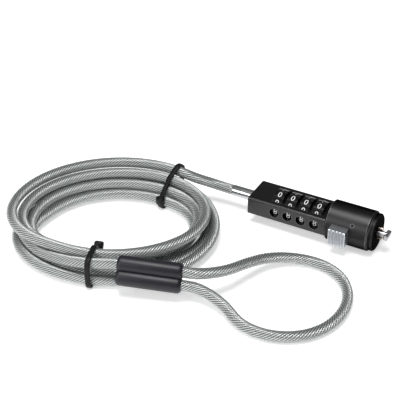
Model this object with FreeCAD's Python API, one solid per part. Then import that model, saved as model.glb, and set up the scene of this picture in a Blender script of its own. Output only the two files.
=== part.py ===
"""Laptop cable lock: a four-dial combination lock on a steel wire rope.

Frame: +X along the lock, from the rope towards the T-bar; +Z up; the part lies on z = 0.
The origin is under the middle of the lock's own box. All sizes are in millimetres.
"""
import FreeCAD
import Part
import math
import os

V = FreeCAD.Vector
os.makedirs("parts", exist_ok=True)

# ---------------------------------------------------------------- driving dimensions
BARREL_R = 9.9           # outer radius of the round barrel
BARREL_LENGTH = 21.5
BARREL_WALL = 1.4
BARREL_END_WALL = 1.5    # the barrel's rear end wall
BARREL_CHAMFER = 0.6

HOUSING_WIDTH = 17.8
HOUSING_HEIGHT = 9.4
HOUSING_EDGE = 1.0       # rounding of the long edges
COVER_SCREW_SIDE = 0.6   # the cover screws' place, as a share of the pocket's radius
TAIL_LENGTH = 11.2       # plain stretch behind the dials
FRONT_LENGTH = 2.6       # plain stretch ahead of the dials

DIAL_COUNT = 4
DIAL_R = 7.3
DIAL_WIDTH = 5.2
DIAL_WEB = 1.1           # wall between two dials
DIAL_SIDE_GAP = 0.3
DIAL_TOP_GAP = 0.4
DIGITS = 10
NOTCH_R = 0.45           # groove between two digits
WINDOW_R = 2.45          # round window in front of each dial

CODE_DISC_R = 5.0
TUBE_R = 2.9             # the fixed tube that the dials turn on
TUBE_BORE = 2.0
RUNNING_FIT = 0.05
ROD_R = 1.9
TOOTH_R = 4.0
TOOTH_LENGTH = 0.9
TOOTH_WIDTH = 1.0
TOOTH_CLEARANCE = 0.2
RECESS_DEPTH = 1.8       # free-turning recess in the back of each code disc

COVER_THICKNESS = 1.2
COVER_MARGIN = 2.2       # cover beyond the first and last dial
SCREW_R = 0.7
SCREW_HEAD_R = 1.2
SCREW_HEAD_HEIGHT = 0.6
SCREW_LENGTH = 2.4

SPRING_LEAF = 0.3        # detent comb
SPRING_HEIGHT = 5.6
DETENT_BUMP_R = 0.5
DETENT_GAP = 0.1
DETENT_END_GAP = 0.2     # between the comb and its slot's ends and edges
DETENT_BACK_GAP = 0.1    # between the comb and the wall behind it
BACK_WALL = 0.55

FERRULE_R = 2.75
FERRULE_VISIBLE = 12.0
FERRULE_ROUND = 0.4
FERRULE_NECK_R = 1.9
FERRULE_HEAD_R = 3.0
FERRULE_HEAD_LENGTH = 1.6
FERRULE_HEAD_GAP = 0.3
BUSH_R = 3.6
BUSH_LENGTH = 4.0
WASHER_THICKNESS = 0.6
SWIVEL_GAP = 0.1

SPIGOT_R = 6.9           # the housing's round spigot in the barrel's end wall
SPIGOT_LENGTH = 3.3
RING_LENGTH = 1.6
RING_WALL = 1.3

NOSE_R = 9.2
NOSE_PROUD = 2.3
NOSE_PLUG = 0.8          # the plug behind the nose disc, inside the barrel
NOSE_CHAMFER = 0.5

SHANK_R = 1.5
BAR_LENGTH = 6.4         # T-bar head, across the slot
BAR_WIDTH = 2.6
BAR_THICKNESS = 2.1
REACH = 5.7              # from the nose disc to the end of the T-bar
PIN_R = 0.65
PIN_REACH = 2.6
PIN_OFFSET = 2.75
PIN_ROUND = 0.25
BAR_CHAMFER = 0.45

DRUM_R = 3.0
DRUM_REAR = 10.9         # from the barrel's rear face to the drum's rear end
TRAVEL = 4.0             # travel of the thumb tab
YOKE_R = 5.0
YOKE_BORE = 3.3
YOKE_START = 5.0
YOKE_LENGTH = 8.2
YOKE_WALL = 1.6
CAM_PIN_R = 0.5
CAM_GROOVE_R = 0.75
CAM_DEPTH = 1.05         # depth of the groove in the drum
CAM_PIN_DEPTH = 0.7      # how far the pin reaches into it
CAM_END_WALL = 0.5       # drum behind the groove's rear end

TAB_LENGTH = 8.5
TAB_HEIGHT = 8.3
TAB_REACH = 14.3         # from the lock's axis to the tab's outer face
TAB_START = 4.0          # from the barrel's rear face
TAB_RIBS = 5
RIB_R = 0.5
TAB_ROUND = 0.5
TAB_SKIRT = 0.7          # how far the tab wraps round the barrel, as a share of its radius
STEM_START = 0.4         # from the tab's rear face, so that the tab hides the slot at rest
STEM_LENGTH = 3.6
STEM_HEIGHT = 4.0
STEM_GAP = 0.3
TAB_BARREL_GAP = 0.25
STEM_SOCKET = 1.6        # depth of the stem in the tab
TAB_SCREW_HEAD_R = 1.0
TAB_SCREW_HEAD = 0.8
TAB_SCREW_R = 0.6
TAB_SCREW_COVER = 1.2    # material left between the screw's tip and the tab's face

SPRING_WIRE = 0.6
SPRING_TURNS = 4.5
SPRING_R = 4.2
SPRING_END_GAP = 0.1

BUTTON_R = 0.8
BUTTON_HEAD_R = 1.1
BUTTON_HEAD = 0.6
BUTTON_LENGTH = 3.1
BUTTON_X = 13.6
BUTTON_ANGLE = 34.0      # above the horizontal, on the tab's side
BUTTON_TRAVEL = 0.6
BUTTON_SUNK = 0.2        # the button's face below the barrel's surface
BUTTON_HEAD_GAP = 0.4    # between its head and the barrel's inner wall

ROPE_D = 5.5
ARC_SHARE = 0.45         # the share of a run that the arc at its end may take
COIL_MEAN_LONG = 43.0    # half lengths of the oval through the middle of the turns
COIL_MEAN_SHORT = 35.5
COIL_HALF_WIDTH = 7.2
COIL_SHOULDER = 3.0      # the bundle's inner top corner is cut by this much across
COIL_SHOULDER_DROP = 8.0 # and by this much down
COIL_HIGH = 19.5         # at the back of the coil
COIL_LOW = 16.2          # at the front of the coil
COIL_X = -85.6
COIL_Y = -47.0
COIL_YAW = 28.6          # direction of the oval's long axis

SLEEVE_LENGTH = 30.0
SLEEVE_BORE_OFFSET = 3.0
SLEEVE_R = 3.9
SLEEVE_END_WALL = 6.0
SLEEVE_CENTRE = V(-48.0, -78.2, 11.4)
SLEEVE_YAW = 20.2
SLEEVE_PITCH = 3.3
SLEEVE_ROLL = 60.0
CRIMP_WALL = 0.7         # the sleeve's wall around the crimp
CRIMP_GAP = 0.05         # between the crimp and the rope's end
COIL_SLEEVE_GAP = 0.3

TIE_WIDTH = 2.6
TIE_THICKNESS = 1.0
TIE_HEAD = 5.0
TIE_HEAD_DEPTH = 3.4
TIE_HEAD_ROUND = 0.8
TIE_HEAD_SINK = 0.2      # overlap of a tie's head and its band
TIE_BACK_HEAD_Z = 5.0
TIE_FRONT_HEAD_Z = 7.0
TIE_BACK_ANGLE = 57.0
TIE_BACK_SWING = -5.0    # how far the band is turned from square to the rope
TIE_FRONT_ANGLE = -91.0
TIE_FRONT_SWING = -13.0

# ---------------------------------------------------------------- derived places
AXIS_Z = BARREL_R
AXIS_Y = (TAB_REACH - BARREL_R) / 2
POCKET_WIDTH = DIAL_WIDTH + 2 * DIAL_SIDE_GAP
DIAL_PITCH = POCKET_WIDTH + DIAL_WEB
DIAL_STACK = DIAL_COUNT * DIAL_PITCH - DIAL_WEB
HOUSING_LENGTH = round(TAIL_LENGTH + DIAL_STACK + FRONT_LENGTH, 6)
LOCK_LENGTH = HOUSING_LENGTH + BARREL_LENGTH + NOSE_PROUD + REACH
REAR_X = -LOCK_LENGTH / 2
BARREL_X = REAR_X + HOUSING_LENGTH
NOSE_X = BARREL_X + BARREL_LENGTH
NOSE_FACE_X = NOSE_X + NOSE_PROUD
POCKET_R = DIAL_R + DIAL_TOP_GAP
FIRST_DIAL_X = REAR_X + TAIL_LENGTH + POCKET_WIDTH / 2
DIAL_X = [FIRST_DIAL_X + i * DIAL_PITCH for i in range(DIAL_COUNT)]
CODE_BORE = TUBE_R + RUNNING_FIT
BARREL_BORE = BARREL_R - BARREL_WALL
HALF_W = HOUSING_WIDTH / 2
HALF_H = HOUSING_HEIGHT / 2
TOOTH_START = DIAL_SIDE_GAP
ROPE_R = ROPE_D / 2
X_DIR = V(1, 0, 0)


def save(name, shape):
    """Write one sub-part; the file name is the node name."""
    shape.exportStep("parts/" + name + ".step")
    print(name, "solids", len(shape.Solids), "volume", round(shape.Volume, 1), shape.isValid(), flush=True)


def rod(radius, x0, x1):
    """Cylinder on the lock's axis from x0 to x1."""
    return Part.makeCylinder(radius, x1 - x0, V(x0, AXIS_Y, AXIS_Z), X_DIR)


def tube(radius, bore, x0, x1):
    """Hollow cylinder on the lock's axis."""
    return rod(radius, x0, x1).cut(rod(bore, x0 - 1, x1 + 1))


def block(x0, x1, y0, y1, z0, z1):
    """Box with y and z measured from the lock's axis."""
    return Part.makeBox(x1 - x0, y1 - y0, z1 - z0, V(x0, AXIS_Y + y0, AXIS_Z + z0))


def radial(radius, x, angle, r0, r1):
    """Cylinder that points away from the axis; angle is counted from +Z towards +Y."""
    a = math.radians(angle)
    way = V(0, math.sin(a), math.cos(a))
    return Part.makeCylinder(radius, r1 - r0, V(x, AXIS_Y, AXIS_Z) + way * r0, way)


def edges_along_x(shape, length):
    """Straight edges of a given length that run along X."""
    found = []
    for edge in shape.Edges:
        ends = edge.Vertexes
        if len(ends) == 2 and abs(abs(ends[1].X - ends[0].X) - length) < 1e-6:
            found.append(edge)
    return found


# ---------------------------------------------------------------- dial housing
def cover_box(gap):
    """Outline of the plate that closes the housing's underside."""
    x0 = DIAL_X[0] - POCKET_WIDTH / 2 - COVER_MARGIN
    x1 = DIAL_X[-1] + POCKET_WIDTH / 2 + COVER_MARGIN
    return block(x0 + gap, x1 - gap, -POCKET_R + gap, POCKET_R - gap, -HALF_H, -HALF_H + COVER_THICKNESS)


def screw_places():
    """The cover's screws stand in its two ends."""
    x0 = DIAL_X[0] - POCKET_WIDTH / 2 - COVER_MARGIN / 2
    x1 = DIAL_X[-1] + POCKET_WIDTH / 2 + COVER_MARGIN / 2
    side = POCKET_R * COVER_SCREW_SIDE
    return [(x, y) for x in (x0, x1) for y in (-side, side)]


def screw_solid(x, y, extra):
    """One countersunk-flush cover screw, or its hole when extra is more than 0."""
    base = V(x, AXIS_Y + y, AXIS_Z - HALF_H)
    head = Part.makeCylinder(SCREW_HEAD_R + extra, SCREW_HEAD_HEIGHT, base)
    shank = Part.makeCylinder(SCREW_R + extra, SCREW_LENGTH, base)
    return head.fuse(shank)


def dial_housing():
    """Flat box with a pocket per dial, side windows, a rear socket and a front spigot."""
    body = block(REAR_X, BARREL_X, -HALF_W, HALF_W, -HALF_H, HALF_H)
    body = body.makeFillet(HOUSING_EDGE, edges_along_x(body, HOUSING_LENGTH))
    body = body.fuse(rod(SPIGOT_R, BARREL_X, BARREL_X + SPIGOT_LENGTH))
    for x in DIAL_X:
        x0 = x - POCKET_WIDTH / 2
        x1 = x + POCKET_WIDTH / 2
        body = body.cut(rod(POCKET_R, x0, x1))
        body = body.cut(block(x0, x1, -POCKET_R, POCKET_R, -HALF_H - 1, 0))
        window = Part.makeCylinder(WINDOW_R, HALF_W, V(x, AXIS_Y - HALF_W - 1, AXIS_Z), V(0, 1, 0))
        body = body.cut(window)
    body = body.cut(cover_box(0))
    spring_x0 = DIAL_X[0] - POCKET_WIDTH / 2
    spring_x1 = DIAL_X[-1] + POCKET_WIDTH / 2
    slot_height = SPRING_HEIGHT / 2 + DETENT_END_GAP
    slot_floor = DIAL_R - DETENT_BUMP_R
    body = body.cut(block(spring_x0, spring_x1, slot_floor, HALF_W - BACK_WALL, -slot_height, slot_height))
    body = body.cut(rod(TUBE_R, tube_start(), BARREL_X + SPIGOT_LENGTH + 1))
    body = body.cut(rod(BUSH_R, REAR_X - 1, bush_end()))
    body = body.cut(rod(FERRULE_HEAD_R + FERRULE_HEAD_GAP, bush_end(), swivel_end()))
    for x, y in screw_places():
        body = body.cut(screw_solid(x, y, 0))
    return body


def bush_end():
    return REAR_X + BUSH_LENGTH


def swivel_end():
    return bush_end() + WASHER_THICKNESS + FERRULE_HEAD_LENGTH + 2 * SWIVEL_GAP


def tube_start():
    return DIAL_X[0] - POCKET_WIDTH / 2 - COVER_MARGIN / 2


def bottom_cover():
    """Plate with a slot for each dial."""
    plate = cover_box(0)
    for x in DIAL_X:
        plate = plate.cut(rod(POCKET_R, x - POCKET_WIDTH / 2, x + POCKET_WIDTH / 2))
    for x, y in screw_places():
        plate = plate.cut(screw_solid(x, y, 0))
    return plate


def cover_screws():
    return Part.makeCompound([screw_solid(x, y, 0) for x, y in screw_places()])


def spindle_tube():
    """Fixed tube through the dials, slotted along its top for the rod's teeth."""
    end = BARREL_X + SPIGOT_LENGTH
    body = tube(TUBE_R, TUBE_BORE, tube_start(), end)
    half = TOOTH_WIDTH / 2 + TOOTH_CLEARANCE
    slot_start = DIAL_X[0] - DIAL_WIDTH / 2
    return body.cut(block(slot_start, end + 1, -half, half, 0, TUBE_R + 1))


def dial_ring(x):
    """Numbered ring: ten flats parted by small grooves."""
    ring = tube(DIAL_R, CODE_DISC_R, x - DIAL_WIDTH / 2, x + DIAL_WIDTH / 2)
    for i in range(DIGITS):
        a = math.radians(360 / DIGITS * (i + 0.5))
        base = V(x - DIAL_WIDTH, AXIS_Y + DIAL_R * math.cos(a), AXIS_Z + DIAL_R * math.sin(a))
        ring = ring.cut(Part.makeCylinder(NOTCH_R, 2 * DIAL_WIDTH, base, X_DIR))
    return ring


def code_disc(x):
    """Disc with a recess where the tooth waits and two opposite gates that let it through."""
    x0 = x - DIAL_WIDTH / 2
    x1 = x + DIAL_WIDTH / 2
    disc = tube(CODE_DISC_R, CODE_BORE, x0, x1)
    disc = disc.cut(rod(TOOTH_R + TOOTH_CLEARANCE, x0, x0 + RECESS_DEPTH))
    half = TOOTH_WIDTH / 2 + TOOTH_CLEARANCE
    reach = TOOTH_R + TOOTH_CLEARANCE
    return disc.cut(block(x0 - 1, x1 + 1, -half, half, -reach, reach))


def locking_rod():
    """Round rod with one tooth for each dial; its front end is held in the yoke."""
    body = rod(ROD_R, DIAL_X[0] - DIAL_WIDTH / 2, BARREL_X + YOKE_START + YOKE_WALL)
    for x in DIAL_X:
        x0 = x - DIAL_WIDTH / 2 + TOOTH_START
        tooth = block(x0, x0 + TOOTH_LENGTH, -TOOTH_WIDTH / 2, TOOTH_WIDTH / 2, 0, TOOTH_R)
        body = body.fuse(tooth)
    return body.removeSplitter()


def detent_spring():
    """Comb leaf behind the dials with one bump for each."""
    y1 = HALF_W - BACK_WALL - DETENT_BACK_GAP
    y0 = y1 - SPRING_LEAF
    x0 = DIAL_X[0] - POCKET_WIDTH / 2 + DETENT_END_GAP
    x1 = DIAL_X[-1] + POCKET_WIDTH / 2 - DETENT_END_GAP
    leaf = block(x0, x1, y0, y1, -SPRING_HEIGHT / 2, SPRING_HEIGHT / 2)
    groove = math.pi / DIGITS
    reach = DIAL_R + DETENT_BUMP_R + DETENT_GAP
    for x in DIAL_X:
        base = V(x - DIAL_WIDTH / 4, AXIS_Y + reach * math.cos(groove), AXIS_Z + reach * math.sin(groove))
        leaf = leaf.fuse(Part.makeCylinder(DETENT_BUMP_R, DIAL_WIDTH / 2, base, X_DIR))
    return leaf.removeSplitter()


# ---------------------------------------------------------------- rope end in the lock
def swivel_bush():
    return tube(BUSH_R, FERRULE_NECK_R + RUNNING_FIT, REAR_X, bush_end())


def swivel_washer():
    return tube(FERRULE_HEAD_R, FERRULE_NECK_R + RUNNING_FIT, bush_end(), bush_end() + WASHER_THICKNESS)


def swivel_ferrule():
    """Crimped ferrule whose head turns behind the bush."""
    mouth = REAR_X - FERRULE_VISIBLE
    shell = rod(FERRULE_R, mouth, REAR_X - SWIVEL_GAP)
    edge = [e for e in shell.Edges if hasattr(e.Curve, "Radius")]
    shell = shell.makeFillet(FERRULE_ROUND, edge[:1])
    head_x = bush_end() + WASHER_THICKNESS + SWIVEL_GAP
    neck = rod(FERRULE_NECK_R, REAR_X - 1, head_x)
    head = rod(FERRULE_HEAD_R, head_x, head_x + FERRULE_HEAD_LENGTH)
    return shell.fuse(neck).fuse(head).removeSplitter()


# ---------------------------------------------------------------- barrel
def stem_slot():
    """Slot in the barrel's side for the tab's stem over its whole travel."""
    x0 = stem_start() - STEM_GAP
    x1 = stem_start() + STEM_LENGTH + TRAVEL + STEM_GAP
    half = STEM_HEIGHT / 2 + STEM_GAP
    return block(x0, x1, -BARREL_R - 1, -BARREL_BORE + 1, -half, half)


def stem_start():
    return BARREL_X + TAB_START + STEM_START


def barrel_sleeve():
    """Round shell, with an end wall around the housing's spigot."""
    shell = rod(BARREL_R, BARREL_X, NOSE_X)
    rims = [e for e in shell.Edges if hasattr(e.Curve, "Radius")]
    shell = shell.makeChamfer(BARREL_CHAMFER, rims)
    shell = shell.cut(rod(BARREL_BORE, BARREL_X + BARREL_END_WALL, NOSE_X + 1))
    shell = shell.cut(rod(SPIGOT_R, BARREL_X - 1, NOSE_X))
    shell = shell.cut(stem_slot())
    return shell.cut(button_part(BUTTON_R + RUNNING_FIT, 0, BARREL_R + 1))


def barrel_ring():
    """Ring pressed on the spigot behind the barrel's end wall."""
    x0 = BARREL_X + BARREL_END_WALL
    return tube(SPIGOT_R + RING_WALL, SPIGOT_R, x0, x0 + RING_LENGTH)


def nose_plate():
    """Disc that closes the barrel; the T-bar's shank turns in it."""
    face = rod(NOSE_R, NOSE_X, NOSE_FACE_X)
    rims = [e for e in face.Edges if hasattr(e.Curve, "Radius") and abs(e.BoundBox.XMax - NOSE_FACE_X) < 1e-6]
    face = face.makeChamfer(NOSE_CHAMFER, rims)
    plate = face.fuse(rod(BARREL_BORE, NOSE_X - NOSE_PLUG, NOSE_X))
    plate = plate.cut(rod(SHANK_R + RUNNING_FIT, NOSE_X - 5, NOSE_FACE_X + 1))
    for side in (-1, 1):
        plate = plate.cut(guard_pin(side))
    return plate


def guard_pin(side):
    base = V(NOSE_X - NOSE_PLUG, AXIS_Y, AXIS_Z + side * PIN_OFFSET)
    pin = Part.makeCylinder(PIN_R, NOSE_PLUG + NOSE_PROUD + PIN_REACH, base, X_DIR)
    tip = [e for e in pin.Edges if abs(e.BoundBox.XMin - (NOSE_FACE_X + PIN_REACH)) < 1e-6]
    return pin.makeFillet(PIN_ROUND, tip)


def guard_pins():
    return Part.makeCompound([guard_pin(-1), guard_pin(1)])


# ---------------------------------------------------------------- T-bar and its drive
def t_bar():
    """Head, shank and drum in one; the drum's groove climbs a quarter turn over the travel."""
    end = NOSE_FACE_X + REACH
    head = block(end - BAR_THICKNESS, end, -BAR_LENGTH / 2, BAR_LENGTH / 2, -BAR_WIDTH / 2, BAR_WIDTH / 2)
    head = head.makeChamfer(BAR_CHAMFER, head.Edges)
    drum_end = NOSE_X - NOSE_PLUG - SWIVEL_GAP
    body = rod(DRUM_R, BARREL_X + DRUM_REAR, drum_end)
    body = body.fuse(rod(SHANK_R, drum_end, end - BAR_THICKNESS / 2)).fuse(head)
    body = body.cut(cam_groove())
    for x, angle in ((cam_x(), 0), (cam_x() + TRAVEL, -90)):
        body = body.cut(radial(CAM_GROOVE_R, x, angle, DRUM_R - CAM_DEPTH, DRUM_R + 1))
    return body.removeSplitter()


def cam_groove():
    """Round channel that climbs a quarter turn over the travel."""
    radius = DRUM_R - CAM_DEPTH + CAM_GROOVE_R
    helix = Part.makeHelix(4 * TRAVEL, TRAVEL, radius)
    ring = Part.Circle(V(radius, 0, 0), V(0, 1, 4 * TRAVEL / (2 * math.pi * radius)), CAM_GROOVE_R)
    channel = Part.Wire(helix).makePipeShell([Part.Wire([ring.toShape()])], True, True)
    channel.rotate(V(0, 0, 0), V(0, 1, 0), 90)
    channel.rotate(V(0, 0, 0), X_DIR, 180)
    channel.translate(V(cam_x(), AXIS_Y, AXIS_Z))
    return channel


def cam_x():
    return BARREL_X + DRUM_REAR + CAM_GROOVE_R + CAM_END_WALL


def cam_pin():
    return radial(CAM_PIN_R, cam_x(), 0, DRUM_R - CAM_PIN_DEPTH, YOKE_R)


def slide_yoke():
    """Cup around the drum, with the stem that reaches out to the thumb tab."""
    x0 = BARREL_X + YOKE_START
    cup = rod(YOKE_R, x0, x0 + YOKE_LENGTH).cut(rod(YOKE_BORE, x0 + YOKE_WALL, x0 + YOKE_LENGTH + 1))
    half = STEM_HEIGHT / 2
    stem = block(stem_start(), stem_start() + STEM_LENGTH, -stem_reach(), 0, -half, half)
    stem = stem.cut(rod(YOKE_R - 0.5, x0 - 1, x0 + YOKE_LENGTH + 1))
    body = cup.fuse(stem)
    body = body.cut(rod(ROD_R, x0 - 1, x0 + YOKE_WALL))
    body = body.cut(radial(CAM_PIN_R, cam_x(), 0, 0, YOKE_R + 1))
    return body.cut(tab_screw())


def stem_reach():
    return BARREL_R + TAB_BARREL_GAP + STEM_SOCKET


def tab_screw():
    """Screw up through the stem's foot into the tab's pocket."""
    x = stem_start() + STEM_LENGTH / 2
    base = YOKE_R + RUNNING_FIT
    head = radial(TAB_SCREW_HEAD_R, x, -90, base, base + TAB_SCREW_HEAD)
    shank = radial(TAB_SCREW_R, x, -90, base, TAB_REACH - TAB_SCREW_COVER)
    return head.fuse(shank)


def thumb_tab():
    """Ribbed thumb piece with its inner face hollowed to the barrel."""
    x0 = BARREL_X + TAB_START
    half = TAB_HEIGHT / 2
    body = block(x0, x0 + TAB_LENGTH, -TAB_REACH, -BARREL_R * TAB_SKIRT, -half, half)
    corners = [e for e in body.Edges if abs(e.BoundBox.YMax - (AXIS_Y - TAB_REACH)) < 1e-6]
    body = body.makeFillet(TAB_ROUND, corners)
    body = body.cut(rod(BARREL_R + TAB_BARREL_GAP, x0 - 1, x0 + TAB_LENGTH + 1))
    pitch = TAB_LENGTH / TAB_RIBS
    for i in range(1, TAB_RIBS):
        base = V(x0 + i * pitch, AXIS_Y - TAB_REACH, AXIS_Z - half - 1)
        body = body.cut(Part.makeCylinder(RIB_R, TAB_HEIGHT + 2, base))
    half_stem = STEM_HEIGHT / 2
    socket = block(stem_start(), stem_start() + STEM_LENGTH, -stem_reach(), 0, -half_stem, half_stem)
    return body.cut(socket).cut(tab_screw())


def return_spring():
    """Compression spring between the yoke and the nose disc."""
    x0 = BARREL_X + YOKE_START + YOKE_LENGTH + SPRING_WIRE / 2
    x1 = NOSE_X - NOSE_PLUG - SPRING_WIRE / 2 - SPRING_END_GAP
    pitch = (x1 - x0) / SPRING_TURNS
    helix = Part.makeHelix(pitch, x1 - x0, SPRING_R)
    start = Part.Circle(V(SPRING_R, 0, 0), V(0, 1, 0), SPRING_WIRE / 2)
    profile = Part.Wire([start.toShape()])
    coil = Part.Wire(helix).makePipeShell([profile], True, True)
    coil.rotate(V(0, 0, 0), V(0, 1, 0), 90)
    coil.translate(V(x0, AXIS_Y, AXIS_Z))
    return coil


def button_part(radius, r0, r1):
    """Cylinder on the code button's line, at its angle on the tab's side."""
    return radial(radius, BARREL_X + BUTTON_X, BUTTON_ANGLE - 90, r0, r1)


def code_button():
    face = BARREL_R - BUTTON_SUNK
    shank = button_part(BUTTON_R, face - BUTTON_LENGTH, face)
    head_top = BARREL_BORE - BUTTON_HEAD_GAP
    head = button_part(BUTTON_HEAD_R, head_top - BUTTON_HEAD, head_top)
    return shank.fuse(head)


# ---------------------------------------------------------------- sleeve, crimp and rope
def sleeve_place(shape):
    """Move a shape from the sleeve's own frame, where X is its length and Z its width."""
    shape.rotate(V(0, 0, 0), X_DIR, SLEEVE_ROLL - 90)
    shape.rotate(V(0, 0, 0), V(0, 1, 0), SLEEVE_PITCH)
    shape.rotate(V(0, 0, 0), V(0, 0, 1), SLEEVE_YAW)
    shape.translate(SLEEVE_CENTRE)
    return shape


def sleeve_point(x, side):
    """Point on a bore's axis: side is 1 for the upper bore and -1 for the lower."""
    dot = sleeve_place(Part.Vertex(V(x, 0, side * SLEEVE_BORE_OFFSET)))
    return dot.Point


def twin(radius, x0, x1):
    """Two joined cylinders side by side, in the sleeve's own frame."""
    parts = []
    for side in (-1, 1):
        parts.append(Part.makeCylinder(radius, x1 - x0, V(x0, 0, side * SLEEVE_BORE_OFFSET), X_DIR))
    return parts[0].fuse(parts[1])


def crimp():
    """The crimp's solid: a smaller double barrel between the sleeve's end walls."""
    inner = SLEEVE_LENGTH / 2 - SLEEVE_END_WALL
    return sleeve_place(twin(SLEEVE_R - CRIMP_WALL, -inner, inner))


def loop_sleeve(ropes):
    """Moulded cover: double barrel, closed around the rope at both ends."""
    half = SLEEVE_LENGTH / 2
    body = sleeve_place(twin(SLEEVE_R, -half, half)).cut(crimp())
    for rope in ropes:
        body = body.cut(rope)
    return body


def sleeve_room():
    """The space that the coil leaves for the sleeve."""
    half = SLEEVE_LENGTH / 2 + COIL_SLEEVE_GAP
    return sleeve_place(twin(SLEEVE_R + COIL_SLEEVE_GAP, -half, half))


def rope_tube(name, points):
    """Round rope along straight runs joined by arcs as large as the runs allow."""
    edges = []
    radii = []
    here = points[0]
    for i in range(1, len(points) - 1):
        back = points[i - 1] - points[i]
        ahead = points[i + 1] - points[i]
        trim = ARC_SHARE * min(back.Length, ahead.Length)
        turn = math.pi - back.getAngle(ahead)
        radius = trim / math.tan(turn / 2)
        back.normalize()
        ahead.normalize()
        start = points[i] + back * trim
        end = points[i] + ahead * trim
        bisector = back + ahead
        bisector.normalize()
        centre = points[i] + bisector * (radius / math.cos(turn / 2))
        middle = centre - bisector * radius
        edges.append(Part.LineSegment(here, start).toShape())
        edges.append(Part.Arc(start, middle, end).toShape())
        here = end
        radii.append(round(radius, 1))
    edges.append(Part.LineSegment(here, points[-1]).toShape())
    path = Part.Wire(edges)
    ring = Part.Circle(points[0], points[1] - points[0], ROPE_R).toShape()
    solid = path.makePipeShell([Part.Wire([ring])], True, True)
    print(name, "radii", radii, "length", round(path.Length, 1))
    return solid


def coil_place(shape):
    shape.rotate(V(0, 0, 0), V(0, 0, 1), COIL_YAW)
    shape.translate(V(COIL_X, COIL_Y, 0))
    return shape


def coil_section(grow):
    """Outline of the bundle at the coil's right-hand end; x is the distance from the bend's centre."""
    r = COIL_MEAN_SHORT
    w = COIL_HALF_WIDTH + grow
    low = TIE_THICKNESS - grow
    high = COIL_HIGH + grow
    shoulder = [(r - w + COIL_SHOULDER, high), (r - w, high - COIL_SHOULDER_DROP)]
    outline = [(r - w, low), (r + w, low), (r + w, high)] + shoulder
    return Part.Face(Part.makePolygon([V(x, 0, z) for x, z in outline + outline[:1]]))


def coil_solid(grow):
    """Oval ring: two half rings joined by two straight stretches, lower at the front."""
    gap = COIL_MEAN_LONG - COIL_MEAN_SHORT
    face = coil_section(grow)
    half = face.revolve(V(0, 0, 0), V(0, 0, 1), 180)
    half.rotate(V(0, 0, 0), V(0, 0, 1), -90)
    other = half.copy()
    other.rotate(V(0, 0, 0), V(0, 0, 1), 180)
    half.translate(V(gap, 0, 0))
    other.translate(V(-gap, 0, 0))
    ring = half.fuse(other)
    for turn in (90, -90):
        bar = coil_section(grow)
        bar.rotate(V(0, 0, 0), V(0, 0, 1), turn)
        bar.translate(V(-gap, 0, 0))
        ring = ring.fuse(bar.extrude(V(2 * gap, 0, 0)))
    return coil_place(ring.removeSplitter().cut(coil_lid(grow)))


def coil_lid(grow):
    """The space above the bundle, whose top falls from the back to the front."""
    reach = COIL_MEAN_SHORT + COIL_HALF_WIDTH
    wide = 2 * COIL_MEAN_LONG
    over = (COIL_HIGH - COIL_LOW) / (2 * reach) * (wide - reach)
    corners = [V(-wide, -wide, COIL_LOW + grow - over)]
    corners.append(V(-wide, wide, COIL_HIGH + grow + over))
    corners.append(V(-wide, wide, 3 * COIL_HIGH))
    corners.append(V(-wide, -wide, 3 * COIL_HIGH))
    return Part.Face(Part.makePolygon(corners + corners[:1])).extrude(V(2 * wide, 0, 0))


def tie(place, swing, head_z):
    """Band around the bundle, nearly square to it, with its head on the inner side."""
    a = math.radians(place)
    normal = place + swing
    gap = math.copysign(COIL_MEAN_LONG - COIL_MEAN_SHORT, math.cos(a))
    x = gap + COIL_MEAN_SHORT * math.cos(a)
    y = COIL_MEAN_SHORT * math.sin(a)
    wide = 2 * COIL_HALF_WIDTH + 4 * TIE_THICKNESS
    slab = Part.makeBox(wide, TIE_WIDTH, 2 * COIL_HIGH, V(-wide / 2, -TIE_WIDTH / 2, -1))
    slab.rotate(V(0, 0, 0), V(0, 0, 1), normal)
    slab.translate(V(x, y, 0))
    band = coil_solid(TIE_THICKNESS).cut(coil_solid(0)).common(coil_place(slab))
    step = COIL_HALF_WIDTH + TIE_THICKNESS + TIE_HEAD_DEPTH - TIE_HEAD_SINK
    base = V(-step, -TIE_HEAD / 2, head_z - TIE_HEAD / 2)
    head = Part.makeBox(TIE_HEAD_DEPTH, TIE_HEAD, TIE_HEAD, base)
    head = head.makeFillet(TIE_HEAD_ROUND, head.Edges)
    head.rotate(V(0, 0, 0), V(0, 0, 1), normal)
    head.translate(V(x, y, 0))
    return band.fuse(coil_place(head)).removeSplitter()


def spots(rows):
    return [V(*row) for row in rows]


# Rope routes: points chosen by hand, in millimetres.
LEAD = spots([
    (REAR_X - FERRULE_VISIBLE, AXIS_Y, AXIS_Z), (-58.5, 2.2, 9.9), (-71.0, -3.0, 13.4), (-84.0, -5.6, 15.4),
])
LOOP = spots([
    (-27.6, -69.2, 12.8), (-19.2, -59.9, 11.4), (-15.5, -47.0, 8.6), (-10.4, -34.5, 5.4), (0.1, -26.1, 3.4),
    (13.0, -24.0, 2.8), (24.6, -29.0, 2.75), (32.0, -39.5, 2.75), (34.2, -52.5, 2.75), (31.5, -65.7, 2.75),
    (23.5, -76.0, 2.75), (11.5, -81.5, 2.75), (-2.0, -81.0, 3.1), (-13.1, -73.7, 4.9), (-26.4, -71.8, 7.4),
])
TAIL = spots([(-66.2, -83.3, 15.1), (-77.0, -85.5, 12.5), (-91.5, -84.5, 9.5)])

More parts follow.
